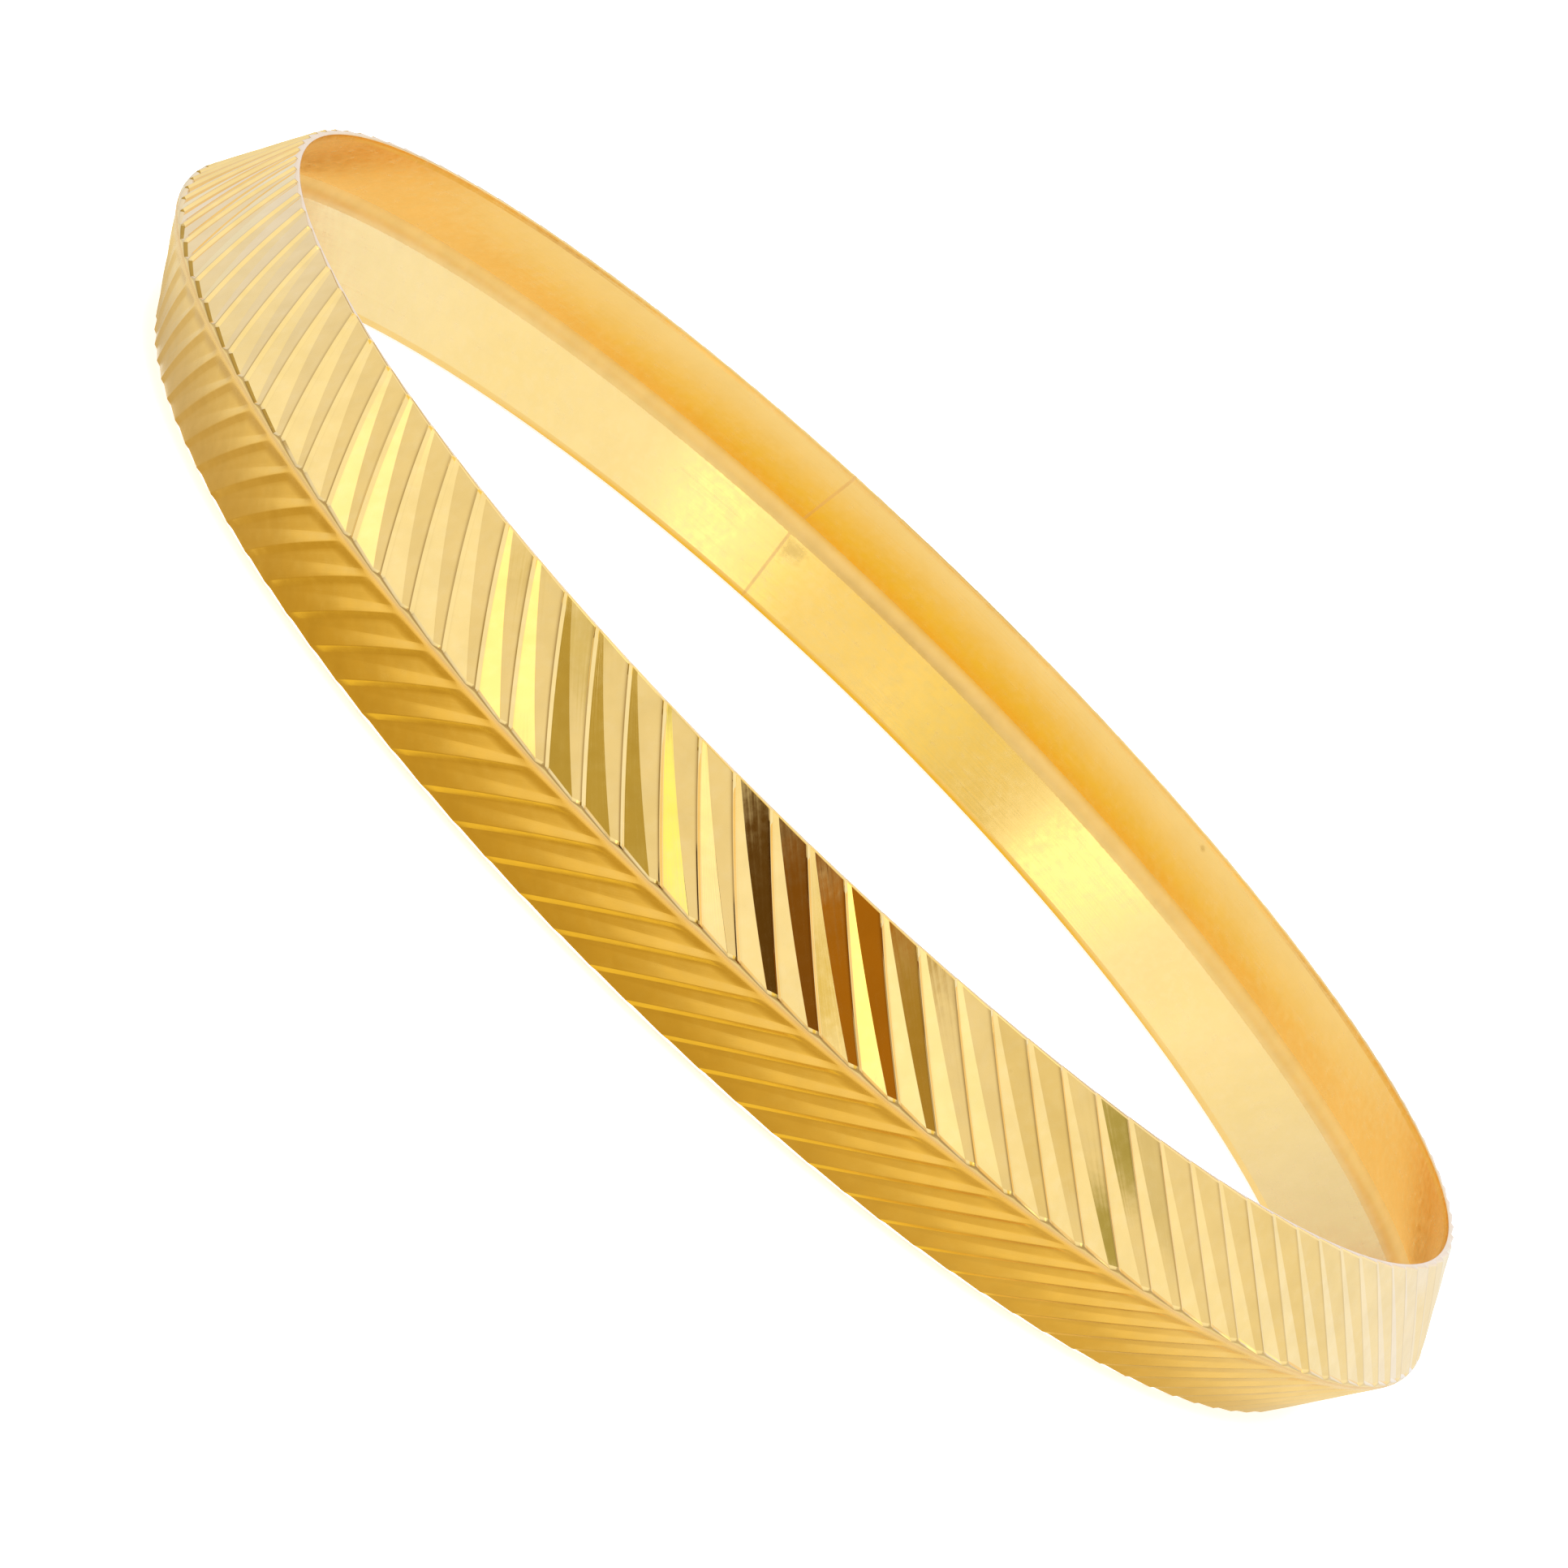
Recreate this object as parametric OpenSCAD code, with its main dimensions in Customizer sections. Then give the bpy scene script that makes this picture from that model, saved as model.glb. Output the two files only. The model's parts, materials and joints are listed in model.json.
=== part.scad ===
// Rigid slip-on bangle: two thin faceted cone rings joined along a central ridge, hollow-backed.
// Z is the axis of the ring; the origin is the centre of the bore at mid-width.

/* [Size] */
// Clear bore that passes over the hand
inner_diameter = 62; // [54:1:70]
// Height of the band from rim to rim
band_width = 8; // [7:0.5:10]

/* [Section] */
// Lean of each flange from the ring's axis, in degrees
flange_angle = 30; // [26:1:34]
// Sheet thickness, square to the flange
sheet_thickness = 0.4; // [0.36:0.02:0.48]
// Radial thickness left at the rim edge
rim_edge = 0.29; // [0.27:0.01:0.32]
// Height of the plain band left along the ridge
ridge_land = 0.2; // [0.18:0.02:0.4]
// Height of the solder line between the two flanges
joint_gap = 0.08; // [0.06:0.02:0.14]
// Radius of the solder fillet inside the ridge
joint_fillet = 1; // [0.6:0.1:1.4]

/* [Cuts] */
// Bright cuts round each flange
cut_count = 120; // [100:4:128]
// Direction of the first cut round the ring, in cut spacings
cut_start = 0.7; // [0:0.05:0.95]
// Depth of a cut below the cone of the flange
cut_depth = 0.1; // [0.06:0.01:0.12]
// How far round the ring a cut runs from ridge to rim, in cut spacings
cut_sweep = 2.67; // [2:0.05:3]
// Share of the spacing taken by the short steep wall of a cut
wall_share = 0.1; // [0.08:0.01:0.16]
// Share of the spacing taken by the flat floor, at the ridge
floor_share_ridge = 0.63; // [0.5:0.01:0.65]
// Share of the spacing taken by the flat floor, at the rim
floor_share_rim = 0.11; // [0.08:0.01:0.4]

/* [Closing seam] */
// Direction of the seam round the ring
seam_angle = 105; // [0:15:345]
// Width of the solder line
seam_width = 0.16; // [0.12:0.02:0.2]

/* [Hidden] */
$fn = 240;
// Colours of the sheet and of the solder
gold = "#e6bf62";
solder = "#dcae58";
half_width = band_width / 2;
land_half = ridge_land / 2;
gap_half = joint_gap / 2;
lean = tan(flange_angle);
bore_radius = inner_diameter / 2;
rim_radius = bore_radius + rim_edge;
crest_radius = rim_radius + (half_width - land_half) * lean;
crease_radius = crest_radius + land_half * lean - sheet_thickness / cos(flange_angle);
cut_pitch = 360 / cut_count;
// Flats that make up the section of the solder fillet
fillet_steps = 6;
// Clearance between a cut and the solder
clearance = 0.02;
// Height at which a cut ends beside the ridge, at its steep wall and at its slope
foot_at_wall = land_half + cut_depth;
foot_at_slope = gap_half + cut_depth * sin(flange_angle) + clearance;
// Height to which a cutter runs out past the rim
run_out = half_width + 0.3;
// How far a cutter stands proud of the sheet
proud = 0.03;
// Straight lengths in which a cutter follows its spiral
stations = 3;
// Share of the spacing where the sloping side comes out through the sheet
slope_end = 0.95;
// Margin by which the seam slice passes the sheet
margin = 1;

// Outside radius of the flange cone at height z.
function cone_radius(z) = crest_radius - (z - land_half) * lean;

// A point a number of cut spacings round from the start, at height z, sunk square to the flange.
function on_flange(turn, z, depth) =
    let (r = cone_radius(z) - depth * cos(flange_angle), a = turn * cut_pitch)
    [r * cos(a), r * sin(a), z - depth * sin(flange_angle)];

// How far a cut trails round the ring at height z, and the share its flat floor takes there.
function trail(z) = -cut_sweep * z / half_width;
function floor_share(z) = floor_share_ridge + (floor_share_rim - floor_share_ridge) * z / half_width;

// Outline of the cutter: over the slope, top of slope, end of floor, foot of the wall, over the wall.
function cutter_section(z_wall, z_slope) = [
    on_flange(trail(z_slope) + slope_end, z_slope, -proud),
    on_flange(trail(z_slope) + slope_end, z_slope, -proud / 4),
    on_flange(trail(z_slope) + wall_share + floor_share(z_slope), z_slope, cut_depth),
    on_flange(trail(z_wall) + wall_share, z_wall, cut_depth),
    on_flange(trail(z_wall) - wall_share * proud / cut_depth, z_wall, -proud)
];

// One cutter: its outline lofted from beside the ridge to past the rim.
module cutter() {
    sides = 5;
    heights = [for (i = [0:stations]) foot_at_wall + (run_out - foot_at_wall) * i / stations];
    points = [for (i = [0:stations]) each cutter_section(heights[i], i == 0 ? foot_at_slope : heights[i])];
    last = sides * stations;
    skin = [for (i = [0:stations - 1], j = [0:sides - 1])
        let (a = sides * i + j, b = sides * i + (j + 1) % sides)
        each [[a, a + sides, b + sides], [a, b + sides, b]]];
    foot = [for (j = [1:sides - 2]) [0, j, j + 1]];
    tip = [for (j = [1:sides - 2]) [last, last + j + 1, last + j]];
    polyhedron(points = points, faces = concat(foot, skin, tip));
}

// Plain cone ring, before cutting, with the bore land inside its rim.
module flange_blank() {
    land_height = (bore_radius - crease_radius) / -lean;
    rotate_extrude()
        polygon([
            [crease_radius - gap_half * lean, gap_half],
            [crest_radius, gap_half],
            [crest_radius, land_half],
            [rim_radius, half_width],
            [bore_radius, half_width],
            [bore_radius, land_height]
        ]);
}

// The ring with the cuts numbered first to last taken out of it.
module cut_flange(first, last) {
    difference() {
        flange_blank();
        for (i = [first:last])
            rotate([0, 0, (cut_start + i) * cut_pitch])
                cutter();
    }
}

// Thin upright slice across the sheet where a ring is closed.
module seam_slice() {
    rotate([0, 0, seam_angle])
        translate([bore_radius - margin, -seam_width / 2, 0])
            cube([crest_radius - bore_radius + 2 * margin, seam_width, half_width + margin]);
}

// Upper cone ring, open at the seam.
module upper_flange() {
    color(gold)
        difference() {
            cut_flange(0, cut_count - 1);
            seam_slice();
        }
}

// Lower cone ring, the mirror image of the upper one.
module lower_flange() {
    mirror([0, 0, 1])
        upper_flange();
}

// Solder between the two flanges, with a fillet along the inside of the ridge.
module ridge_joint() {
    fillet_centre = crease_radius - joint_fillet / cos(flange_angle);
    sheet_inside = crease_radius - gap_half * lean;
    fillet = [for (i = [0:fillet_steps])
        let (a = flange_angle * (1 - 2 * i / fillet_steps))
        [fillet_centre + joint_fillet * cos(a), joint_fillet * sin(a)]];
    web = [
        [sheet_inside, -gap_half],
        [crest_radius, -gap_half],
        [crest_radius, gap_half],
        [sheet_inside, gap_half]
    ];
    color(solder)
        rotate_extrude()
            polygon(concat(web, fillet));
}

// Solder closing the upper ring; it carries the same cuts as the sheet beside it.
module upper_seam() {
    first = floor(seam_angle / cut_pitch - cut_start) - 1;
    last = first + ceil(cut_sweep) + 3;
    color(solder)
        intersection() {
            cut_flange(first, last);
            seam_slice();
        }
}

// Solder closing the lower ring.
module lower_seam() {
    mirror([0, 0, 1])
        upper_seam();
}

upper_flange();
lower_flange();
ridge_joint();
upper_seam();
lower_seam();
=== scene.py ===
"""Looks of a rigid slip-on gold bangle: two thin cut flanges soldered along a central ridge.

Metres, +Z up along the axis of the ring, origin at the centre of the bore. The outer face of each flange is
cut all the way round. One cut has a short steep wall, a flat floor that narrows from ridge to rim, and a
sloping side that widens from ridge to rim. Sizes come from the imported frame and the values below.
"""
import json
import math

import bmesh
import bpy
import numpy as np
from mathutils import Matrix, Vector


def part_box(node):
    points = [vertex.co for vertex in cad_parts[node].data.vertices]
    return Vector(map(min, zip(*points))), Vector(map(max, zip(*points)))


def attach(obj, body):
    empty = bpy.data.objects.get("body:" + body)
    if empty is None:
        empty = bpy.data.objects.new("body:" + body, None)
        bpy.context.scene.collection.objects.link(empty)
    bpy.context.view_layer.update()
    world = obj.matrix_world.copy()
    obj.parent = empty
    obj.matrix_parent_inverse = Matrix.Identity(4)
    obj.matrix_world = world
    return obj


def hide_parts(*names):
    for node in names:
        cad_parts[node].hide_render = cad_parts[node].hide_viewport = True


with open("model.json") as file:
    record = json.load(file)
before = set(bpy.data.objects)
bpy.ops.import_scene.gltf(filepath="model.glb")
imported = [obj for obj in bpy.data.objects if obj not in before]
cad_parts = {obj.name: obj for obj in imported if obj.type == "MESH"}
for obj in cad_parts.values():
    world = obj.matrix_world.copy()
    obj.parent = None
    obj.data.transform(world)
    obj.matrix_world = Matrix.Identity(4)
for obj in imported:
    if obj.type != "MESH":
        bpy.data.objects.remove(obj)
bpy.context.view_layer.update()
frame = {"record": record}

MM = 0.001

# Driving sizes, from the frame
FLANGE_LO, FLANGE_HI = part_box("upper_flange")
SEAM_LO, SEAM_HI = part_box("upper_seam")
MOUNTS = {mount["name"]: mount for mount in frame["record"]["mounts"]}
BORE_RADIUS = MOUNTS["wrist_bore"]["dims"]["r_mm"] * MM
CREST_RADIUS = FLANGE_HI.x
HALF_WIDTH = FLANGE_HI.z
GAP_HALF = FLANGE_LO.z
SEAM_ANGLE = math.atan2(SEAM_LO.y + SEAM_HI.y, SEAM_LO.x + SEAM_HI.x)
SEAM_WIDTH = 0.16 * MM

# Section of the sheet
FLANGE_ANGLE = math.radians(30)
LEAN = math.tan(FLANGE_ANGLE)
SHEET = 0.4 * MM
LAND_HALF = 0.1 * MM
CONE_APEX = CREST_RADIUS + LAND_HALF * LEAN
RIDGE_ROUND = (CONE_APEX - CREST_RADIUS) / (1 / math.cos(FLANGE_ANGLE) - 1)
CREASE_RADIUS = CONE_APEX - SHEET / math.cos(FLANGE_ANGLE)
FILLET = 1.0 * MM
RIM_ROUND = 0.05 * MM
# Faces across the ridge solder's outside and its fillet, steps round it, and the bend that stays a corner
RIDGE_FACES = 4
FILLET_FACES = 12
RIDGE_STEPS = 720
RIDGE_CORNER = math.radians(40)

# The cuts. Shares are parts of their spacing round the ring
CUTS = 120
PITCH = 2 * math.pi / CUTS
CUT_DEPTH = 0.1 * MM
CREST_SHARE = 0.965
# Number of faces from each feature line of a cut to the next, and how far each line is worn (1) or sunk
# (-1); a sunk line gets painted shade
LINE_STEPS = (1, 1, 1, 4, 1, 4, 1)
LINE_WEAR_AND_SHADE = (-1, 0.7, 0, -0.6, -0.4, -0.4, -0.9)
WALL_LINE, VALLEY_LINE = 3, 4
# Shares of the spacing by which a cut's crest, wall foot and valley are rounded
CREST_EDGE = 0.01
WALL_EDGE = 0.006
VALLEY_EDGE = 0.004
# Spread of the differences from cut to cut: walls and valleys in shares of the spacing, depths as a factor,
# and tilts
WALL_SPREAD = 0.012
VALLEY_SPREAD = 0.02
DEPTH_SPREAD = 0.035
TILT_SPREAD = math.radians(0.3)
# How far the crests are cut down, in shares of the depth
CREST_DEPTH = 0.04
CREST_SPREAD = 0.02
# Height above the ridge plane at which a cut ends: at its crest, at the foot of its wall and at its valley
END_AT_TOP = 0.18 * MM
END_AT_WALL = 0.15 * MM
END_AT_VALLEY = 0.05 * MM
# Height over which a crisp and a soft cut reach their depth
END_STEP = 0.07 * MM
SOFT_FADE = 0.5 * MM
# Rows from the end of a cut to the rim, closer together near the ridge
ROWS = 18
ROW_CROWDING = 1.5
# Rows before the cuts start, and how far each is worn (1) or sunk (-1) on the crisp flange; a sunk row gets
# painted shade
PLAIN_ROWS = 3
PLAIN_WEAR_AND_SHADE = (1, -0.9, -1)
# Rows that round the rim's outer and inner edge, as shares of a quarter turn
OUTER_BENDS = (0.35, 0.7, 1.0)
INNER_BENDS = (1.0, 0.6, 0.3, 0.0)
RIM_ROWS = len(OUTER_BENDS) + len(INNER_BENDS) - 1
# Foot of the rounded edge inside the bore, below the rim; the land ends one row further on
BORE_EDGE = 0.2 * MM
LAND_ROW = RIM_ROWS + 2
# Rows on the inner face, from the land to the ridge
INNER_ROWS = 12
# How nearly a crisp facet shades as one plane
FLATNESS = 0.88
# How far from the ridge the soft flange is rubbed, and how strongly its lines are worn and carry painted
# shade
BLUSH_WIDTH = 1.0 * MM
SOFT_WEAR_AND_SHADE = 0.3
# How far from the seam its slice cuts faces
SEAM_REACH = 5 * MM


def plain_radius(z):
    """Outer radius of the uncut flange at height z, with the ridge rounded over."""
    tangent = RIDGE_ROUND * math.sin(FLANGE_ANGLE)
    arc = CREST_RADIUS - RIDGE_ROUND + np.sqrt(np.maximum(RIDGE_ROUND ** 2 - z ** 2, 0))
    return np.where(z < tangent, arc, CONE_APEX - z * LEAN)


class Cuts:
    """The cuts of one flange, with the small differences from one to the next."""

    def __init__(self, seed, start, sweep, wall, floor, depth, fade, crisp):
        """wall is a share of the spacing. floor and depth are pairs of shares, at ridge and rim. fade is the
        height over which a cut reaches its depth. crisp keeps the lines of the cuts sharp."""
        self.start = start
        self.sweep = sweep
        self.wall_share = wall
        self.floor = floor
        self.depth = depth
        self.fade = fade
        self.crisp = crisp
        rng = np.random.default_rng(seed)
        self.wall = rng.normal(0, WALL_SPREAD, CUTS)[:, None]
        self.valley = rng.normal(0, VALLEY_SPREAD, CUTS)[:, None]
        self.depth_scale = rng.normal(1, DEPTH_SPREAD, CUTS)[:, None]
        self.lean = rng.normal(0, TILT_SPREAD, CUTS)[:, None]
        self.twist = rng.normal(0, TILT_SPREAD, CUTS)[:, None]
        self.crest_depth = np.abs(rng.normal(CREST_DEPTH, CREST_SPREAD, CUTS))[:, None]

    def lines(self, z):
        """Feature lines of every cut at heights z (cuts x rows): shares of the spacing and of the depth."""
        level = z / HALF_WIDTH
        floor = self.floor[0] + (self.floor[1] - self.floor[0]) * level
        valley = self.wall_share + floor + self.valley * (0.4 + 0.6 * level)
        depth = self.depth_scale * (self.depth[0] + (self.depth[1] - self.depth[0]) * level)
        lean = self.lean + self.twist * (level - 0.5)
        valley_depth = depth + lean * floor * PITCH * CREST_RADIUS / CUT_DEPTH
        same = np.ones_like(z)
        return [
            (0.0 * same, 0.0 * same),
            (CREST_EDGE * same, 0.1 * depth),
            ((self.wall_share - CREST_EDGE) * same, 0.93 * depth),
            ((self.wall_share + WALL_EDGE) * same, depth),
            (valley - VALLEY_EDGE, valley_depth),
            (valley + VALLEY_EDGE, 0.99 * valley_depth),
            (CREST_SHARE * same, self.crest_depth * same),
            (1.0 * same, 0.0 * same),
        ]

    def shift(self, share):
        """Small moves of a cut's walls, spread over the shares between one wall and the next."""
        return self.wall * (1 - share) + np.roll(self.wall, -1, axis=0) * share

    def around(self, radius, share, z):
        """Points at a share of the way across each cut. Its line trails round the ring from ridge to rim."""
        number = np.arange(CUTS)[:, None]
        angle = PITCH * (self.start + number + share - self.sweep * z / HALF_WIDTH)
        return np.stack([radius * np.cos(angle), radius * np.sin(angle), z + 0 * angle], axis=-1)

    def sunk(self, z, end):
        """How much of its depth a cut has at height z, when it ends at height end."""
        part = np.clip((z - end) / self.fade, 0, 1)
        return part * part * (3 - 2 * part)


def pocket_end(share, wall, valley):
    """Height at which a cut stops short of the ridge."""
    shares = (0.0, wall, valley, 1.0)
    heights = (END_AT_TOP, END_AT_WALL, END_AT_VALLEY, END_AT_TOP)
    return np.interp(share, shares, heights)


def outer_grid(cuts):
    """Outer face of a flange: points as cuts x columns x rows, with each column's share, and its wear above
    0 and painted shade below 0.
    """
    nominal = cuts.lines(np.zeros((CUTS, 1)))
    columns = []
    shares = []
    wear_and_shade = []
    for line, steps in enumerate(LINE_STEPS):
        for step in range(steps):
            part = step / steps
            share = nominal[line][0] + (nominal[line + 1][0] - nominal[line][0]) * part
            walls = nominal[WALL_LINE][0][:, 0]
            valleys = nominal[VALLEY_LINE][0][:, 0]
            end = np.array([pocket_end(*three) for three in zip(share[:, 0], walls, valleys)])[:, None]
            foot = end + END_STEP
            top = HALF_WIDTH - RIM_ROUND
            along = np.linspace(0, 1, ROWS + 1)[None, :] ** ROW_CROWDING
            z = np.hstack([0 * end + GAP_HALF, (GAP_HALF + end) / 2, end, foot + (top - foot) * along])
            sunk = cuts.sunk(z, end)
            lines = cuts.lines(z)
            ends = []
            for share_z, depth in (lines[line], lines[line + 1]):
                cut_radius = CONE_APEX - z * LEAN - depth * sunk * CUT_DEPTH / math.cos(FLANGE_ANGLE)
                radius = np.minimum(plain_radius(z), cut_radius)
                ends.append(cuts.around(radius, share_z + cuts.shift(share_z), z))
            columns.append(ends[0] + (ends[1] - ends[0]) * part)
            shares.append(share[:, 0])
            wear_and_shade.append(LINE_WEAR_AND_SHADE[line] if step == 0 else 0)
    return np.stack(columns, axis=1), np.stack(shares, axis=1), np.array(wear_and_shade, dtype=float)


def flange_grid(cuts):
    """A flange's whole skin: outer face, rim, bore land and inner face, as columns x rows of points."""
    outer, shares, column_wear_and_shade = outer_grid(cuts)
    turns = (np.arange(CUTS)[:, None] + shares).ravel()
    outer = outer.reshape(-1, *outer.shape[2:])
    last = outer[:, -1]
    angle = np.arctan2(last[:, 1], last[:, 0])
    radius = np.hypot(last[:, 0], last[:, 1])
    rows = []

    def row(r, z, turn):
        rows.append(np.stack([r * np.cos(turn), r * np.sin(turn), 0 * r + z], axis=-1))

    # rounded outer edge, flat rim, rounded inner edge
    for bend in OUTER_BENDS:
        drop = RIM_ROUND * (1 - math.cos(bend * math.pi / 2))
        rise = RIM_ROUND * math.sin(bend * math.pi / 2)
        row(radius - drop - rise * LEAN / 2, HALF_WIDTH - RIM_ROUND + rise, angle)
    for bend in INNER_BENDS:
        drop = RIM_ROUND * (1 - math.cos(bend * math.pi / 2))
        rise = RIM_ROUND * math.sin(bend * math.pi / 2)
        row(BORE_RADIUS + drop + 0 * radius, HALF_WIDTH - RIM_ROUND + rise, angle)
    land = (CREASE_RADIUS - BORE_RADIUS) / LEAN
    heights = [HALF_WIDTH - BORE_EDGE, land] + list(np.linspace(land, GAP_HALF, INNER_ROWS)[1:])
    for z in heights:
        turn = angle + PITCH * cuts.sweep * (HALF_WIDTH - RIM_ROUND - z) / HALF_WIDTH
        row(max(CREASE_RADIUS - z * LEAN, BORE_RADIUS) + 0 * radius, z, turn)
    outer_rows = outer.shape[1]
    grid = np.concatenate([outer, np.stack(rows, axis=1)], axis=1)
    # Above 0 is wear, below 0 painted shade on the sunk lines and rows
    wear_and_shade = np.zeros(grid.shape[:2])
    wear_and_shade[:, PLAIN_ROWS:outer_rows] = np.tile(column_wear_and_shade, CUTS)[:, None]
    wear_and_shade[:, :PLAIN_ROWS] = PLAIN_WEAR_AND_SHADE if cuts.crisp else 1
    if not cuts.crisp:
        blush = 1 - grid[:, :outer_rows, 2] / BLUSH_WIDTH
        wear_and_shade[:, :outer_rows] = np.maximum(wear_and_shade[:, :outer_rows] * SOFT_WEAR_AND_SHADE, np.clip(blush, 0, 1))
    wear_and_shade[:, outer_rows:outer_rows + RIM_ROWS] = 1
    return grid, outer_rows, turns, wear_and_shade


def sharp_columns():
    """Which columns of one cut lie on a feature line."""
    flags = []
    for steps in LINE_STEPS:
        flags += [True] + [False] * (steps - 1)
    return np.array(flags)


def flange_mesh(name, side, cuts):
    """Mesh of one whole ring, closed right round. side is +1 above the ridge and -1 below it."""
    grid, outer_rows, turns, wear_and_shade = flange_grid(cuts)
    grid[..., 2] *= side
    n_columns, n_rows = grid.shape[:2]
    index = np.arange(n_columns * n_rows).reshape(n_columns, n_rows)
    beside = np.roll(index, -1, axis=0)
    corner = np.roll(beside, -1, axis=1)
    above = np.roll(index, -1, axis=1)
    order = (index, beside, corner, above) if side > 0 else (index, above, corner, beside)
    faces = np.stack([x.ravel() for x in order], axis=-1)
    mesh = bpy.data.meshes.new(name)
    mesh.from_pydata(grid.reshape(-1, 3).tolist(), [], faces.tolist())
    row_of_face = np.tile(np.arange(n_rows), n_columns)
    inside = (row_of_face >= outer_rows + RIM_ROWS).astype(np.int32)
    mesh.polygons.foreach_set("material_index", inside)
    mesh.polygons.foreach_set("use_smooth", np.ones(len(faces), dtype=bool))
    mark_sharp(mesh, n_rows, outer_rows, cuts.crisp)
    # This attribute holds wear above 0 and painted shade on the sunk lines below 0
    mesh.attributes.new("wear_and_shade", "FLOAT", "POINT").data.foreach_set("value", wear_and_shade.ravel())
    numbers = facet_numbers(n_columns, n_rows, outer_rows)
    mesh.attributes.new("facet", "INT", "FACE").data.foreach_set("value", numbers)
    add_lay(mesh, faces, turns, n_rows)
    mesh.update()
    return mesh


def facet_numbers(n_columns, n_rows, outer_rows):
    """Number of the flat facet that each face belongs to: two to a cut, its floor and its sloping side."""
    cut, column = np.divmod(np.arange(n_columns), sum(LINE_STEPS))
    line = np.repeat(np.arange(len(LINE_STEPS)), LINE_STEPS)[column]
    number = np.where(line == WALL_LINE, 1 + 2 * cut, np.where(line == VALLEY_LINE + 1, 2 + 2 * cut, 0))
    row = np.arange(n_rows)
    in_cut = (row >= PLAIN_ROWS) & (row < outer_rows - 1)
    return (number[:, None] * in_cut[None, :]).ravel().astype(np.int32)


def flatten_facets(mesh):
    """A facet is one straight stroke of the cutter, so it shades almost as one plane."""
    number = np.empty(len(mesh.polygons), dtype=np.int32)
    mesh.attributes["facet"].data.foreach_get("value", number)
    size = np.empty(len(mesh.polygons), dtype=np.int32)
    mesh.polygons.foreach_get("loop_total", size)
    area = np.empty(len(mesh.polygons))
    mesh.polygons.foreach_get("area", area)
    facing = np.empty(len(mesh.polygons) * 3)
    mesh.polygons.foreach_get("normal", facing)
    mean = np.zeros((number.max() + 1, 3))
    np.add.at(mean, number, facing.reshape(-1, 3) * area[:, None])
    mean /= np.maximum(np.linalg.norm(mean, axis=1, keepdims=True), 1e-12)
    corner = np.empty(len(mesh.loops) * 3)
    mesh.corner_normals.foreach_get("vector", corner)
    corner = corner.reshape(-1, 3)
    facet = np.repeat(number, size)
    flat = corner + (mean[facet] - corner) * FLATNESS
    corner = np.where((facet > 0)[:, None], flat, corner)
    mesh.normals_split_custom_set(corner.tolist())


def add_lay(mesh, faces, turns, n_rows):
    """Lay of the tool marks: cuts counted round the ring, and rows from ridge over rim to crease."""
    column, row = faces // n_rows, faces % n_rows
    around = turns[column]
    around = np.where(around < around.max(axis=1, keepdims=True) - CUTS / 2, around + CUTS, around)
    row = np.where(row < row.max(axis=1, keepdims=True) - n_rows / 2, row + n_rows, row)
    layer = mesh.uv_layers.new(name="lay")
    layer.data.foreach_set("uv", np.stack([around, row / ROWS], axis=-1).ravel())


def mark_sharp(mesh, n_rows, outer_rows, crisp):
    """The ring's own corners stay sharp, and on a crisp flange so do the lines and ends of the cuts."""
    pairs = np.empty(len(mesh.edges) * 2, dtype=np.int32)
    mesh.edges.foreach_get("vertices", pairs)
    pairs = pairs.reshape(-1, 2)
    column, row = pairs // n_rows, pairs % n_rows
    on_line = sharp_columns()[column % len(sharp_columns())].all(axis=1)
    same_column = column[:, 0] == column[:, 1]
    in_cut = (row >= PLAIN_ROWS - 1).all(axis=1) & (row < outer_rows).all(axis=1)
    along_line = same_column & on_line & in_cut
    same_row = row[:, 0] == row[:, 1]
    pocket = same_row & ((row[:, 0] == PLAIN_ROWS - 1) | (row[:, 0] == PLAIN_ROWS))
    corners = np.isin(row[:, 0], (0, outer_rows + LAND_ROW, n_rows - 1)) & same_row
    sharp = corners | ((along_line | pocket) & crisp)
    flags = mesh.attributes.get("sharp_edge") or mesh.attributes.new("sharp_edge", "BOOLEAN", "EDGE")
    flags.data.foreach_set("value", sharp)


def split_at_seam(mesh, keep_slice):
    """Keeps the ring without the seam's slice, or only the slice, and closes the ends with flat faces."""
    shape = bmesh.new()
    shape.from_mesh(mesh)
    across = Vector((-math.sin(SEAM_ANGLE), math.cos(SEAM_ANGLE), 0))
    outward = Vector((math.cos(SEAM_ANGLE), math.sin(SEAM_ANGLE), 0))

    def near(face):
        middle = face.calc_center_median()
        return middle.dot(outward) > 0 and abs(middle.dot(across)) < SEAM_REACH

    for offset in (-SEAM_WIDTH / 2, SEAM_WIDTH / 2):
        faces = [face for face in shape.faces if near(face)]
        verts = dict.fromkeys(vert for face in faces for vert in face.verts)
        edges = dict.fromkeys(edge for face in faces for edge in face.edges)
        geometry = [*verts, *edges, *faces]
        bmesh.ops.bisect_plane(shape, geom=geometry, dist=1e-9, plane_co=across * offset, plane_no=across)
    slice_faces = []
    other_faces = []
    for face in shape.faces:
        middle = face.calc_center_median()
        in_slice = middle.dot(outward) > 0 and abs(middle.dot(across)) < SEAM_WIDTH / 2
        (slice_faces if in_slice else other_faces).append(face)
    bmesh.ops.delete(shape, geom=other_faces if keep_slice else slice_faces, context="FACES")
    open_edges = [e for e in shape.edges if e.is_boundary]
    caps = bmesh.ops.holes_fill(shape, edges=open_edges, sides=0)["faces"]
    for cap in caps:
        cap.smooth = False
        for edge in cap.edges:
            edge.smooth = False
    bmesh.ops.recalc_face_normals(shape, faces=shape.faces)
    shape.to_mesh(mesh)
    shape.free()
    return mesh


def piece(name, mesh, node, materials):
    """Adds a finished mesh as a visible piece that stands for a CAD node."""
    obj = bpy.data.objects.new(name, mesh)
    bpy.context.scene.collection.objects.link(obj)
    for material in materials:
        mesh.materials.append(material)
    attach(obj, "root")
    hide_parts(node)
    return obj


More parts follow.
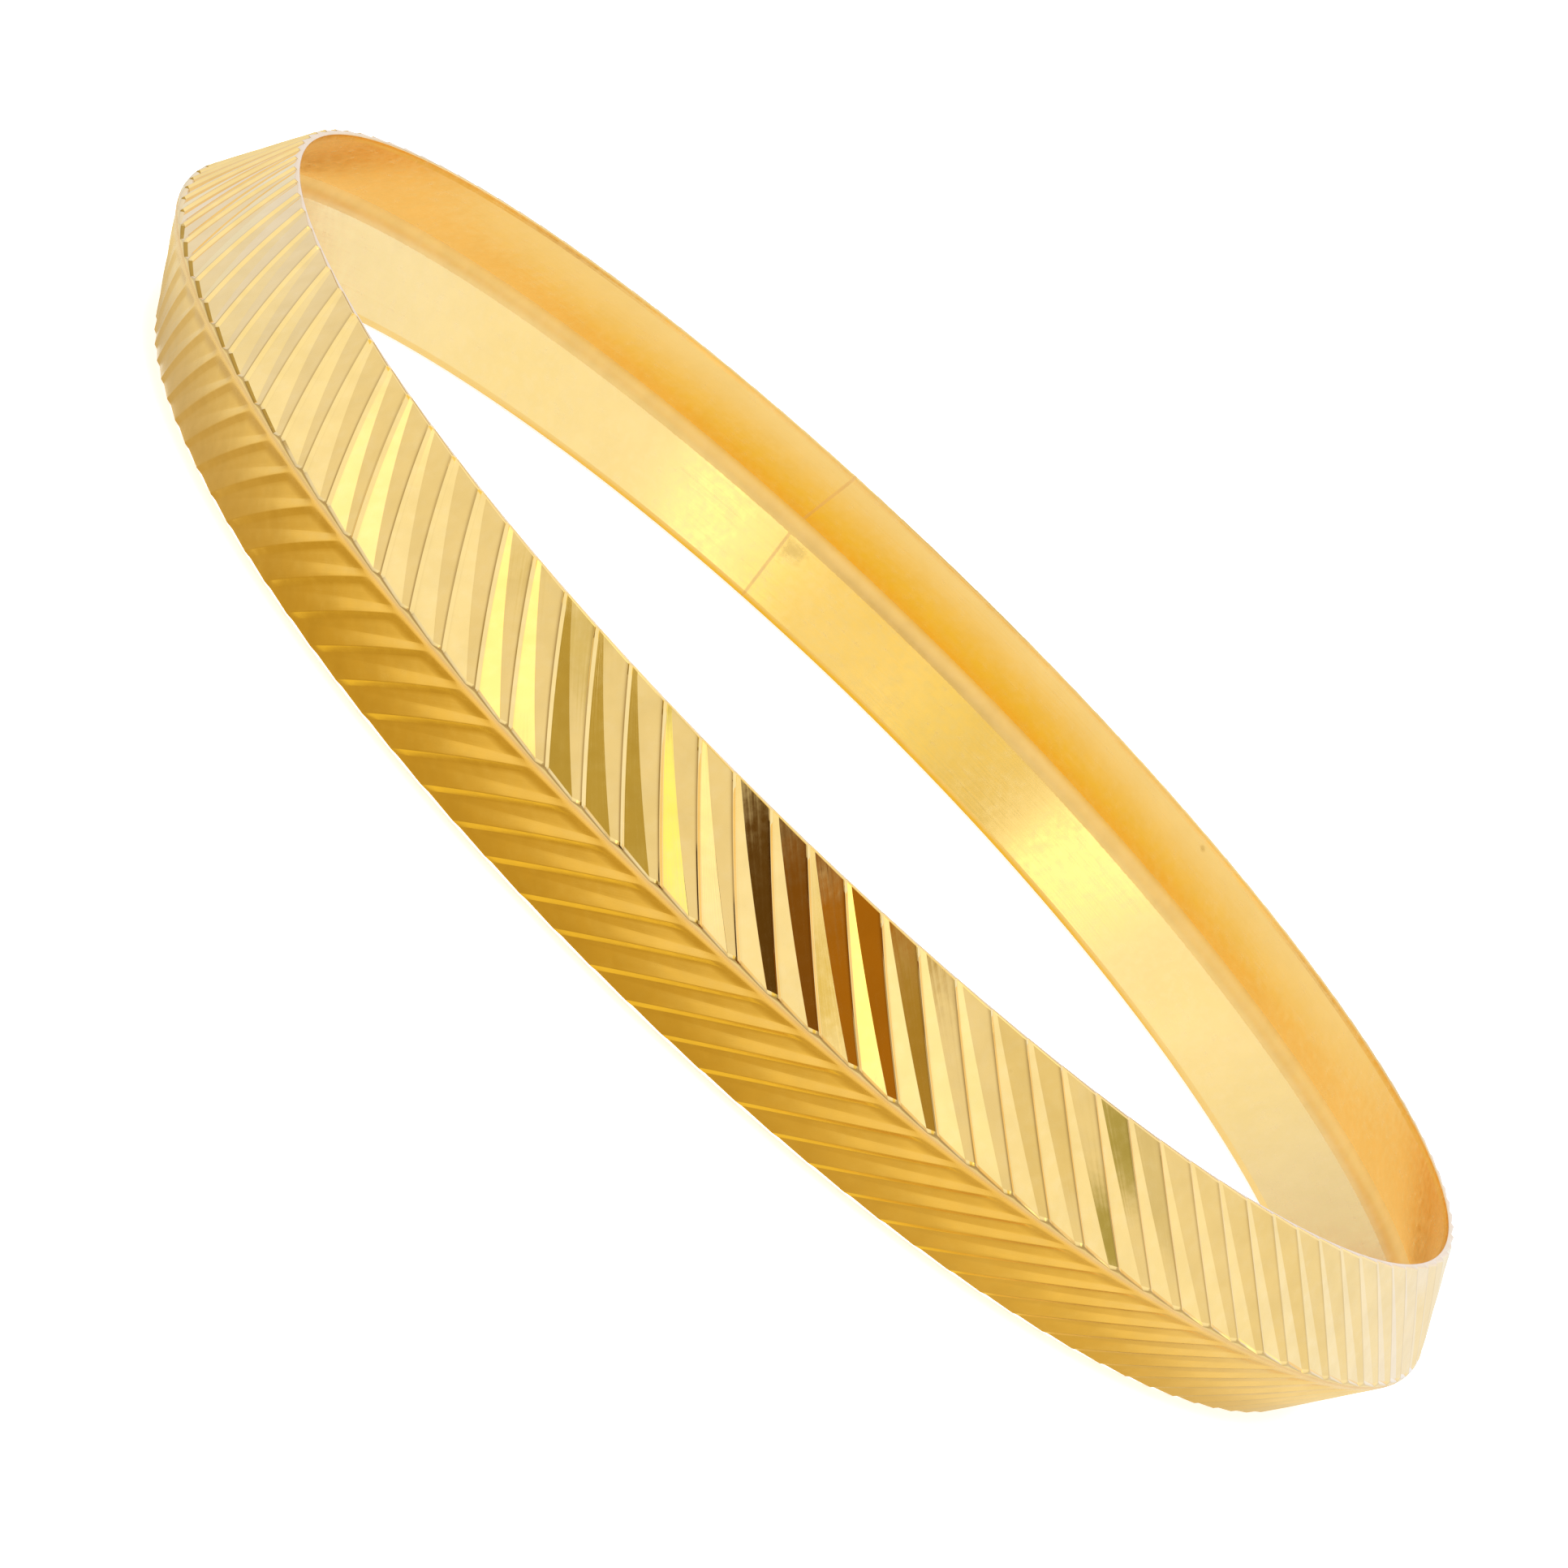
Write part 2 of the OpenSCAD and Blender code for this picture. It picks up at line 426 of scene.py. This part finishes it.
def flange_and_seam(place, side, cuts, cut_gold, inner_gold, solder):
    """One flange, open at its seam, and the solder that closes it."""
    band = split_at_seam(flange_mesh(place + "_flange_band", side, cuts), keep_slice=False)
    if cuts.crisp:
        flatten_facets(band)
    piece(place + "_flange_band", band, place + "_flange", [cut_gold, inner_gold])
    seam = split_at_seam(flange_mesh(place + "_seam_solder", side, cuts), keep_slice=True)
    piece(place + "_seam_solder", seam, place + "_seam", [solder, solder])


def ridge_solder(solder, crease_gold):
    """The solder line round the ridge, with its fillet along the crease inside."""
    centre = CREASE_RADIUS - FILLET / math.cos(FLANGE_ANGLE)
    ridge = np.linspace(-GAP_HALF, GAP_HALF, RIDGE_FACES + 1)
    profile = [(float(plain_radius(np.array(abs(z)))), z) for z in ridge]
    profile.append((CREASE_RADIUS - GAP_HALF * LEAN, GAP_HALF))
    for angle in np.linspace(FLANGE_ANGLE, -FLANGE_ANGLE, FILLET_FACES + 1):
        profile.append((centre + FILLET * math.cos(angle), FILLET * math.sin(angle)))
    profile.append((CREASE_RADIUS - GAP_HALF * LEAN, -GAP_HALF))
    verts = []
    for turn in np.linspace(0, 2 * math.pi, RIDGE_STEPS, endpoint=False):
        verts += [(r * math.cos(turn), r * math.sin(turn), z) for r, z in profile]
    n = len(profile)
    faces = []
    for step in range(RIDGE_STEPS):
        here = step * n
        after = (step + 1) % RIDGE_STEPS * n
        for j in range(n):
            k = (j + 1) % n
            faces.append((here + j, after + j, after + k, here + k))
    mesh = bpy.data.meshes.new("ridge_solder_line")
    mesh.from_pydata(verts, [], faces)
    for index, polygon in enumerate(mesh.polygons):
        polygon.use_smooth = True
        polygon.material_index = int(index % n > RIDGE_FACES)
    mesh.update()
    mesh.set_sharp_from_angle(angle=RIDGE_CORNER)
    piece("ridge_solder_line", mesh, "ridge_joint", [solder, crease_gold])


class Graph:
    """Short names for the shader nodes that this script uses."""

    def __init__(self, tree):
        self.tree = tree

    def node(self, kind, **inputs):
        """A node of a kind, with each named input set to a value or linked to a socket."""
        made = self.tree.nodes.new("ShaderNode" + kind)
        for name, value in inputs.items():
            self.put(made.inputs[name.replace("_", " ")], value)
        return made

    def put(self, socket, value):
        if isinstance(value, bpy.types.NodeSocket):
            self.tree.links.new(value, socket)
        else:
            socket.default_value = value

    def math(self, operation, *values):
        made = self.tree.nodes.new("ShaderNodeMath")
        made.operation = operation
        for socket, value in zip(made.inputs, values):
            self.put(socket, value)
        return made.outputs[0]

    def scaled(self, value, low, high, to_low=0.0, to_high=1.0, smooth=False):
        """Carries a value from one range to another, and holds it at the ends."""
        made = self.tree.nodes.new("ShaderNodeMapRange")
        made.interpolation_type = "SMOOTHSTEP" if smooth else "LINEAR"
        for socket, number in zip(made.inputs, (value, low, high, to_low, to_high)):
            self.put(socket, number)
        return made.outputs["Result"]

    def blend(self, share, first, second, kind="MIX"):
        made = self.tree.nodes.new("ShaderNodeMix")
        made.data_type = "RGBA"
        made.blend_type = kind
        self.put(made.inputs["Factor"], share)
        for socket, colour in zip((made.inputs[6], made.inputs[7]), (first, second)):
            self.put(socket, (*colour, 1) if isinstance(colour, tuple) else colour)
        return made.outputs[2]

    def noise(self, vector, scale, detail=3.0):
        return self.node("TexNoise", Vector=vector, Scale=scale, Detail=detail).outputs["Fac"]

    def length(self, vector):
        made = self.tree.nodes.new("ShaderNodeVectorMath")
        made.operation = "LENGTH"
        self.put(made.inputs[0], vector)
        return made.outputs["Value"]

    def stretched(self, vector, x, y, z):
        """A coordinate multiplied by a different number along each axis."""
        made = self.tree.nodes.new("ShaderNodeVectorMath")
        made.operation = "MULTIPLY"
        self.put(made.inputs[0], vector)
        self.put(made.inputs[1], (x, y, z))
        return made.outputs[0]


# Noise in the polish, in waves per metre
MOTTLE_SCALE = 2400
CLOUD_SCALE = 220
SMEAR_SCALE = 900
RIPPLE_SCALE = 1300
# Height of the soft ripples that polishing leaves, in mm
RIPPLE = 0.0012
# Painted shade in the sunk lines, with the Y and the share at the front of the ring and towards its sides
SUNK_LINE_SHADE = (0.3, 0.15, 0.03)
SUNK_LINE_SHADE_FRONT = (-30 * MM, 0.8)
SUNK_LINE_SHADE_SIDES = (-15 * MM, 0.25)
# Colour of a dull spot
DULL = (0.62, 0.42, 0.15)


def darker(colour, red, green, blue):
    return (colour[0] * red, colour[1] * green, colour[2] * blue)


def gold_tint(graph, place, mottle, colour, rubbed, smeared):
    """Colour of the gold, with its faint clouds, worn places and painted shade in its sunk lines, and how
    worn it is.
    """
    wear_and_shade_map = graph.tree.nodes.new("ShaderNodeAttribute")
    wear_and_shade_map.attribute_name = "wear_and_shade"
    wear_and_shade = wear_and_shade_map.outputs["Fac"]
    worn = graph.math("POWER", graph.math("MAXIMUM", wear_and_shade, 0.0), 4.0)
    sunk = graph.math("POWER", graph.math("MAXIMUM", graph.math("MULTIPLY", wear_and_shade, -1.0), 0.0), 4.0)
    cloud = graph.scaled(graph.noise(place, CLOUD_SCALE, 2), 0.35, 0.65)
    tint = graph.blend(cloud, colour, darker(colour, 0.98, 0.97, 0.92))
    paler = (colour[0], min(colour[1] * 1.04, 1), min(colour[2] * 1.2, 1))
    tint = graph.blend(graph.scaled(mottle, 0.45, 0.75, 0, 0.5), tint, paler)
    tint = graph.blend(graph.math("MULTIPLY", worn, 0.8), tint, rubbed)
    smear = graph.scaled(graph.noise(place, SMEAR_SCALE, 2), 0.4, 0.65, 0, smeared)
    tint = graph.blend(smear, tint, darker(colour, 0.84, 0.82, 0.75))
    # Painted shade: the sunk lines are darkened, fully at the front of the ring and less towards its sides
    y = graph.node("SeparateXYZ", Vector=place).outputs["Y"]
    line_shade = graph.scaled(y, SUNK_LINE_SHADE_FRONT[0], SUNK_LINE_SHADE_SIDES[0], SUNK_LINE_SHADE_FRONT[1], SUNK_LINE_SHADE_SIDES[1])
    return graph.blend(graph.math("MULTIPLY", sunk, line_shade), tint, SUNK_LINE_SHADE), worn


def add_mark(graph, place, mottle, mark, tint, rough):
    """A dull spot with a ragged edge, over the colour and roughness so far."""
    angle, radius, height, width = mark
    turn = math.radians(angle)
    gap = graph.tree.nodes.new("ShaderNodeVectorMath")
    gap.operation = "DISTANCE"
    graph.put(gap.inputs[0], place)
    graph.put(gap.inputs[1], (radius * math.cos(turn), radius * math.sin(turn), height))
    ragged = graph.scaled(mottle, 0.3, 0.7, -width * 0.4, width * 0.4)
    distance = graph.math("ADD", gap.outputs["Value"], ragged)
    dull = graph.scaled(distance, 0, width, 0.5, 0, smooth=True)
    rough = graph.math("ADD", rough, graph.math("MULTIPLY", dull, 0.2))
    return graph.blend(dull, tint, DULL), rough


def gold_material(name, colour, roughness, streaks, streak_depth, rubbed, smeared=0.3, marks=()):
    """Polished gold. streaks are how many tool marks run side by side across and along a cut, and
    streak_depth is in mm. rubbed is the colour of worn places. smeared is how strongly the polish is
    clouded. marks are faint dull spots left by handling, each an angle round the ring, a radius, a height
    and a width."""
    material = bpy.data.materials.new(name)
    material.use_nodes = True
    graph = Graph(material.node_tree)
    shader = material.node_tree.nodes["Principled BSDF"]
    shader.inputs["Metallic"].default_value = 1.0
    place = graph.node("TexCoord").outputs["Object"]
    lay = graph.node("UVMap").outputs["UV"]
    mottle = graph.noise(place, MOTTLE_SCALE, 3)
    streak = graph.noise(graph.stretched(lay, streaks[0], streaks[1], 1), 1.0, 2)

    tint, worn = gold_tint(graph, place, mottle, colour, rubbed, smeared)
    rough = graph.scaled(mottle, 0.3, 0.7, roughness[0], roughness[1])
    rough = graph.math("ADD", rough, graph.scaled(streak, 0.5, 0.8, 0, 0.06))
    rough = graph.math("ADD", rough, graph.math("MULTIPLY", worn, 0.12))
    for mark in marks:
        tint, rough = add_mark(graph, place, mottle, mark, tint, rough)
    graph.put(shader.inputs["Base Color"], tint)
    graph.put(shader.inputs["Roughness"], rough)

    height = graph.math("MULTIPLY", streak, streak_depth)
    height = graph.math("ADD", height, graph.math("MULTIPLY", mottle, 0.25 * streak_depth))
    ripple = graph.math("MULTIPLY", graph.noise(place, RIPPLE_SCALE, 2), RIPPLE)
    bump = graph.node("Bump", Strength=1.0, Distance=1 * MM, Height=graph.math("ADD", height, ripple))
    graph.put(shader.inputs["Normal"], bump.outputs["Normal"])
    return material


# Camera at the photograph's viewing angle. Its distance is in ridge radii
CAMERA_ELEVATION = math.radians(12.05)
CAMERA_DISTANCE = 4.628
CAMERA_YAW = math.radians(-0.071)
CAMERA_PITCH = math.radians(-0.823)
CAMERA_ROLL = math.radians(-44.49)
LENS = 88.75
SENSOR = 36


def add_camera():
    data = bpy.data.cameras.new("camera")
    data.lens = LENS
    data.sensor_width = SENSOR
    data.clip_start = 0.005
    data.clip_end = 20
    camera = bpy.data.objects.new("camera", data)
    bpy.context.scene.collection.objects.link(camera)
    back = Vector((0, -math.cos(CAMERA_ELEVATION), math.sin(CAMERA_ELEVATION)))
    forward = -back
    right = Vector((1, 0, 0))
    up = right.cross(forward)
    yawed = math.sin(CAMERA_YAW) * right + math.cos(CAMERA_YAW) * forward
    right = math.cos(CAMERA_YAW) * right - math.sin(CAMERA_YAW) * forward
    forward = math.sin(CAMERA_PITCH) * up + math.cos(CAMERA_PITCH) * yawed
    up = math.cos(CAMERA_PITCH) * up - math.sin(CAMERA_PITCH) * yawed
    x = math.cos(CAMERA_ROLL) * right - math.sin(CAMERA_ROLL) * up
    y = math.sin(CAMERA_ROLL) * right + math.cos(CAMERA_ROLL) * up
    turn = Matrix((x, y, -forward)).transposed()
    camera.matrix_world = Matrix.Translation(back * CAMERA_DISTANCE * CREST_RADIUS) @ turn.to_4x4()
    bpy.context.scene.camera = camera


# Room seen in the gold. Its white cloth slopes: the rise of a direction is z + ROOM_SLOPE * y, and the cloth
# takes over from the walls between two rises
ROOM_SLOPE = 0.38
CLOTH_EDGE = (0.33, 0.41)
CLOTH_WHITE = (1.02, 1.08, 1.14)
SIDE_WHITE = (0.88, 0.89, 0.86)
# Cool white backdrop behind the bangle, at its left and right
BACKDROP_LEFT = (0.83, 0.89, 1.1)
BACKDROP_RIGHT = (0.97, 1.1, 1.5)
# How much of the room behind the bangle the backdrop hides, at its left and right
BACKDROP_SHARE = (0.95, 0.75)
# X of directions at its left and right, and Y of directions where it starts and is full
BACKDROP_SIDES = (-0.6, 0.6)
BACKDROP_START = (0.0, 0.6)

# The ceiling, soft boxes, boards, shelves, stands and the dark camera. Each has its place in degrees and its
# colour. The place is its azimuth from the camera's side towards +X, its elevation, half width and half
# height, and the softness of its edge
PANELS = {
    "ceiling": ((0, 55, 34, 7.5, 4), (1.0, 0.88, 0.35)),
    "soft_box_far_left": ((-77.5, 32.5, 6, 3.5, 3), (1.4, 1.4, 1.3)),
    "soft_box_left": ((-45, 41, 7.5, 4, 1), (1.42, 1.42, 1.1)),
    "soft_box_left_high": ((-53, 47.5, 13, 3.5, 2), (1.8, 1.8, 1.35)),
    "wood_left": ((-25, 43.3, 12.3, 3.2, 1.5), (0.5, 0.42, 0.14)),
    "wood_edge": ((-9, 45.2, 3.8, 1.2, 1.6), (1.15, 1.35, 0.6)),
    "soft_box_middle": ((-1, 47, 3.7, 1.3, 1), (1.4, 1.4, 1.3)),
    "wood_right": ((23.5, 44.6, 3.5, 0.8, 1.2), (0.8, 0.74, 0.38)),
    "soft_box_right": ((32, 43.4, 3.7, 3.2, 1), (2.0, 2.0, 1.1)),
    "paper_right": ((46, 41, 11, 3, 4), (1.05, 1.2, 1.2)),
    "soft_box_right_high": ((49, 47.5, 9, 2.8, 2), (1.8, 1.8, 1.35)),
    "lens": ((-8, 31, 3.7, 9, 0.8), (0.11, 0.06, 0.015)),
    "lens_rim": ((-0.5, 31, 3.7, 9, 0.8), (0.21, 0.095, 0.015)),
    "camera_grip": ((10.7, 31, 7.4, 9, 0.8), (0.38, 0.17, 0.015)),
    "camera_side": ((21.5, 27.5, 3.5, 6, 1.6), (0.4, 0.28, 0.07)),
    "stand_far_left": ((-58, 27, 3.3, 3, 1), (0.76, 0.74, 0.57)),
    "stand_left": ((-44, 30, 3.3, 2.5, 1), (0.72, 0.7, 0.5)),
    "stand_right": ((46, 29, 7, 3, 2), (0.83, 0.81, 0.68)),
    "stand_far_right": ((56.5, 24.4, 3.3, 1.3, 1.2), (0.45, 0.45, 0.22)),
    "stand_side_right": ((69.4, 24, 3.3, 2, 1), (0.74, 0.74, 0.65)),
    "shelf_behind_left": ((-149, 36, 14, 12, 2), (0.5, 0.42, 0.2)),
    "soft_box_behind_left": ((-172, 38, 4.5, 12, 1.5), (1.7, 1.7, 1.35)),
    "shelf_behind": ((165, 34, 7, 12, 1.5), (0.28, 0.16, 0.03)),
    "soft_box_behind_right": ((140, 38, 9, 12, 2), (1.6, 1.6, 1.3)),
}


def add_world():
    """Even white surroundings: full white behind the object, and the room in its reflections."""
    world = bpy.data.worlds.new("studio")
    bpy.context.scene.world = world
    world.use_nodes = True
    world.node_tree.nodes.clear()
    graph = Graph(world.node_tree)
    direction = graph.node("TexCoord").outputs["Generated"]
    split = graph.node("SeparateXYZ", Vector=direction)
    x, y, z = split.outputs
    rise = graph.math("ADD", z, graph.math("MULTIPLY", y, ROOM_SLOPE))
    colour = graph.blend(graph.scaled(rise, *CLOTH_EDGE, smooth=True), SIDE_WHITE, CLOTH_WHITE)
    backdrop = graph.blend(graph.scaled(x, *BACKDROP_SIDES), BACKDROP_LEFT, BACKDROP_RIGHT)
    hidden = graph.scaled(x, *BACKDROP_SIDES, *BACKDROP_SHARE)
    hidden = graph.math("MULTIPLY", hidden, graph.scaled(y, *BACKDROP_START, smooth=True))
    colour = graph.blend(hidden, colour, backdrop)
    azimuth = graph.math("DEGREES", graph.math("ARCTAN2", x, graph.math("MULTIPLY", y, -1.0)))
    elevation = graph.math("DEGREES", graph.math("ARCSINE", z))
    for place, panel_colour in PANELS.values():
        colour = graph.blend(panel_mask(graph, azimuth, elevation, *place), colour, panel_colour)
    room = graph.node("Background", Color=colour, Strength=1.0)
    white = graph.node("Background", Color=(1, 1, 1, 1), Strength=1.2)
    pick = graph.tree.nodes.new("ShaderNodeMixShader")
    graph.put(pick.inputs[0], graph.node("LightPath").outputs["Is Camera Ray"])
    graph.put(pick.inputs[1], room.outputs["Background"])
    graph.put(pick.inputs[2], white.outputs["Background"])
    graph.put(graph.node("OutputWorld").inputs["Surface"], pick.outputs["Shader"])


def panel_mask(graph, azimuth, elevation, at, up, half_width, half_height, edge):
    """1 inside a soft-edged rectangle of directions, 0 outside."""
    mask = 1.0
    for angle, middle, half in ((azimuth, at, half_width), (elevation, up, half_height)):
        away = graph.math("ABSOLUTE", graph.math("SUBTRACT", angle, middle))
        inside = graph.scaled(away, half - edge / 2, half + edge / 2, 1, 0, smooth=True)
        mask = graph.math("MULTIPLY", inside, mask)
    return mask


def disc(name, rings):
    """Rings of faces round the axis. Each ring ends at a radius and a level; the first closes the middle."""
    turns = np.linspace(0, 2 * math.pi, DISC_STEPS, endpoint=False)
    verts = [(0, 0, rings[0][1])]
    for radius, level in rings:
        verts += [(radius * math.cos(turn), radius * math.sin(turn), level) for turn in turns]
    faces = [(0, 1 + i, 1 + (i + 1) % DISC_STEPS) for i in range(DISC_STEPS)]
    for ring in range(len(rings) - 1):
        near = 1 + ring * DISC_STEPS
        far = near + DISC_STEPS
        for i in range(DISC_STEPS):
            after = (i + 1) % DISC_STEPS
            faces.append((near + i, far + i, far + after, near + after))
    mesh = bpy.data.meshes.new(name)
    mesh.from_pydata(verts, [], faces)
    obj = bpy.data.objects.new(name, mesh)
    bpy.context.scene.collection.objects.link(obj)
    return obj


DISC_STEPS = 128
FLOOR_LEVEL = -HALF_WIDTH - 0.1 * MM
FLOOR_RADIUS = 1.5
FLOOR_WHITE = (0.93, 0.93, 0.93, 1)
FLOOR_GLOW = 0.5
# The reflections see a stepped card in place of the floor: its middle lies just under the rim, the rest
# lower
CARD_STEP = 31.2 * MM
CARD_MIDDLE = 0.1 * MM
CARD_INNER_LEVEL = FLOOR_LEVEL - 0.05 * MM
CARD_OUTER_LEVEL = FLOOR_LEVEL - 2.4 * MM
# Light that the card sends back, by distance from the ring's axis in mm: white in the middle, deep gold in
# the ring's shadow, warm around it, and cool far away
INNER_CARD = (
    (0, (0.98, 0.98, 0.92)),
    (27.5, (0.97, 0.95, 0.87)),
    (28.3, (0.96, 0.92, 0.8)),
    (29.2, (0.93, 0.76, 0.34)),
    (30.2, (0.9, 0.68, 0.1)),
)
# The inner ramp is stretched along X, where the shadow is thinner
INNER_STRETCH = 0.87
OUTER_CARD = (
    (32.4, (0.53, 0.36, 0.06)),
    (33.5, (0.61, 0.43, 0.085)),
    (34.4, (0.68, 0.51, 0.14)),
    (35, (0.88, 0.7, 0.24)),
    (37.9, (0.95, 0.8, 0.38)),
    (42, (0.97, 0.84, 0.5)),
    (60, (0.92, 0.9, 0.8)),
)
FAR_CARD = (0.9, 0.98, 1.15)
FAR_CARD_FULL = 360 * MM
# Light from the room's sides on the outer card, each with the X where it starts, the X where it is full, and
# its full share
CARD_SIDES = (
    ((0.95, 0.78, 0.33), 0, 25 * MM, 0.35),
    ((0.82, 0.88, 0.9), -17 * MM, -44 * MM, 0.65),
    ((0.95, 1.0, 1.05), 22 * MM, 44 * MM, 0.7),
)


def add_floor():
    """Plain pale floor for the camera, and the light it bounces for the reflections."""
    floor = disc("floor", [(FLOOR_RADIUS, FLOOR_LEVEL)])
    material = bpy.data.materials.new("floor")
    material.use_nodes = True
    shader = material.node_tree.nodes["Principled BSDF"]
    shader.inputs["Base Color"].default_value = FLOOR_WHITE
    shader.inputs["Roughness"].default_value = 0.8
    shader.inputs["Specular IOR Level"].default_value = 0.0
    shader.inputs["Emission Color"].default_value = (1, 1, 1, 1)
    shader.inputs["Emission Strength"].default_value = FLOOR_GLOW
    floor.data.materials.append(material)
    floor.visible_glossy = False

    rings = [(CARD_MIDDLE, CARD_INNER_LEVEL), (CARD_STEP, CARD_INNER_LEVEL)]
    rings += [(CARD_STEP, CARD_OUTER_LEVEL), (FLOOR_RADIUS, CARD_OUTER_LEVEL)]
    card = disc("card", rings)
    card.visible_camera = False
    card.visible_diffuse = False
    card.visible_shadow = False
    card.data.materials.append(card_material())


def colour_ramp(graph, distance, table):
    """Colour by distance, from a table of distances in mm and colours."""
    first = table[0][0] * MM
    last = table[-1][0] * MM
    ramp = graph.tree.nodes.new("ShaderNodeValToRGB")
    stops = ramp.color_ramp.elements
    while len(stops) < len(table):
        stops.new(1.0)
    for stop, (radius, colour) in zip(stops, table):
        stop.position = (radius * MM - first) / (last - first)
        stop.color = (*colour, 1)
    graph.put(ramp.inputs["Fac"], graph.scaled(distance, first, last))
    return ramp.outputs["Color"]


def card_material():
    material = bpy.data.materials.new("card")
    material.use_nodes = True
    material.node_tree.nodes.clear()
    graph = Graph(material.node_tree)
    place = graph.node("TexCoord").outputs["Object"]
    distance = graph.length(graph.stretched(place, 1, 1, 0))
    inside = graph.length(graph.stretched(place, INNER_STRETCH, 1, 0))
    inner = colour_ramp(graph, inside, INNER_CARD)
    outer = colour_ramp(graph, distance, OUTER_CARD)
    far = graph.scaled(distance, OUTER_CARD[-1][0] * MM, FAR_CARD_FULL, smooth=True)
    outer = graph.blend(far, outer, FAR_CARD)
    x = graph.node("SeparateXYZ", Vector=place).outputs["X"]
    for side_colour, first, full, share in CARD_SIDES:
        outer = graph.blend(graph.scaled(x, first, full, 0, share, smooth=True), outer, side_colour)
    colour = graph.blend(graph.math("GREATER_THAN", distance, CARD_STEP), inner, outer)
    light = graph.node("Emission", Color=colour, Strength=1.0)
    graph.put(graph.node("OutputMaterial").inputs["Surface"], light.outputs["Emission"])
    return material


LAMP_POWER = 7.0
LAMP_ANGLE = math.radians(60)


def add_lamp():
    """A broad soft lamp overhead that only lights the floor, so that it reads white."""
    data = bpy.data.lights.new("overhead", "SUN")
    data.energy = LAMP_POWER
    data.angle = LAMP_ANGLE
    lamp = bpy.data.objects.new("overhead", data)
    bpy.context.scene.collection.objects.link(lamp)
    lamp.visible_glossy = False


YELLOW = (1.0, 0.71, 0.28)
PALE = (1.0, 0.75, 0.36)
PINK = (0.98, 0.67, 0.32)
WARM = (0.96, 0.64, 0.27)
# Marks left by handling: angle round the ring in degrees, radius, height and width
PIT = (291.5, 31.9 * MM, 3.0 * MM, 0.16 * MM)
SCUFF = (59.5, 31.15 * MM, 3.45 * MM, 0.3 * MM)
SMUDGE = (103.8, 32.6 * MM, -1.0 * MM, 0.9 * MM)


def add_bangle():
    """All the gold: two flanges with their seams, and the solder between them."""
    cut_gold = gold_material("cut_gold", YELLOW, (0.03, 0.07), (26, 1.2), 0.0004, WARM, marks=(PIT,))
    satin_gold = gold_material("satin_gold", YELLOW, (0.15, 0.24), (14, 2.0), 0.0012, PINK)
    inner_gold = gold_material("inner_gold", YELLOW, (0.16, 0.26), (0.35, 60), 0.002, PALE, 0.12,
                               marks=(SCUFF, SMUDGE))
    solder = gold_material("solder_gold", WARM, (0.3, 0.4), (3, 3), 0.002, WARM)
    crease_gold = gold_material("crease_gold", YELLOW, (0.4, 0.5), (3, 3), 0.002, YELLOW)
    upper = Cuts(11, 0.7, 2.67, wall=0.07, floor=(0.66, 0.13), depth=(1, 1), fade=END_STEP, crisp=True)
    lower = Cuts(12, 0.557, 2.93, wall=0.18, floor=(0.62, 0.1), depth=(1, 0.75), fade=SOFT_FADE, crisp=False)
    flange_and_seam("upper", 1, upper, cut_gold, inner_gold, solder)
    flange_and_seam("lower", -1, lower, satin_gold, inner_gold, solder)
    ridge_solder(solder, crease_gold)


def main():
    bpy.context.scene.view_settings.view_transform = "Standard"
    add_camera()
    add_world()
    add_floor()
    add_lamp()
    add_bangle()


main()
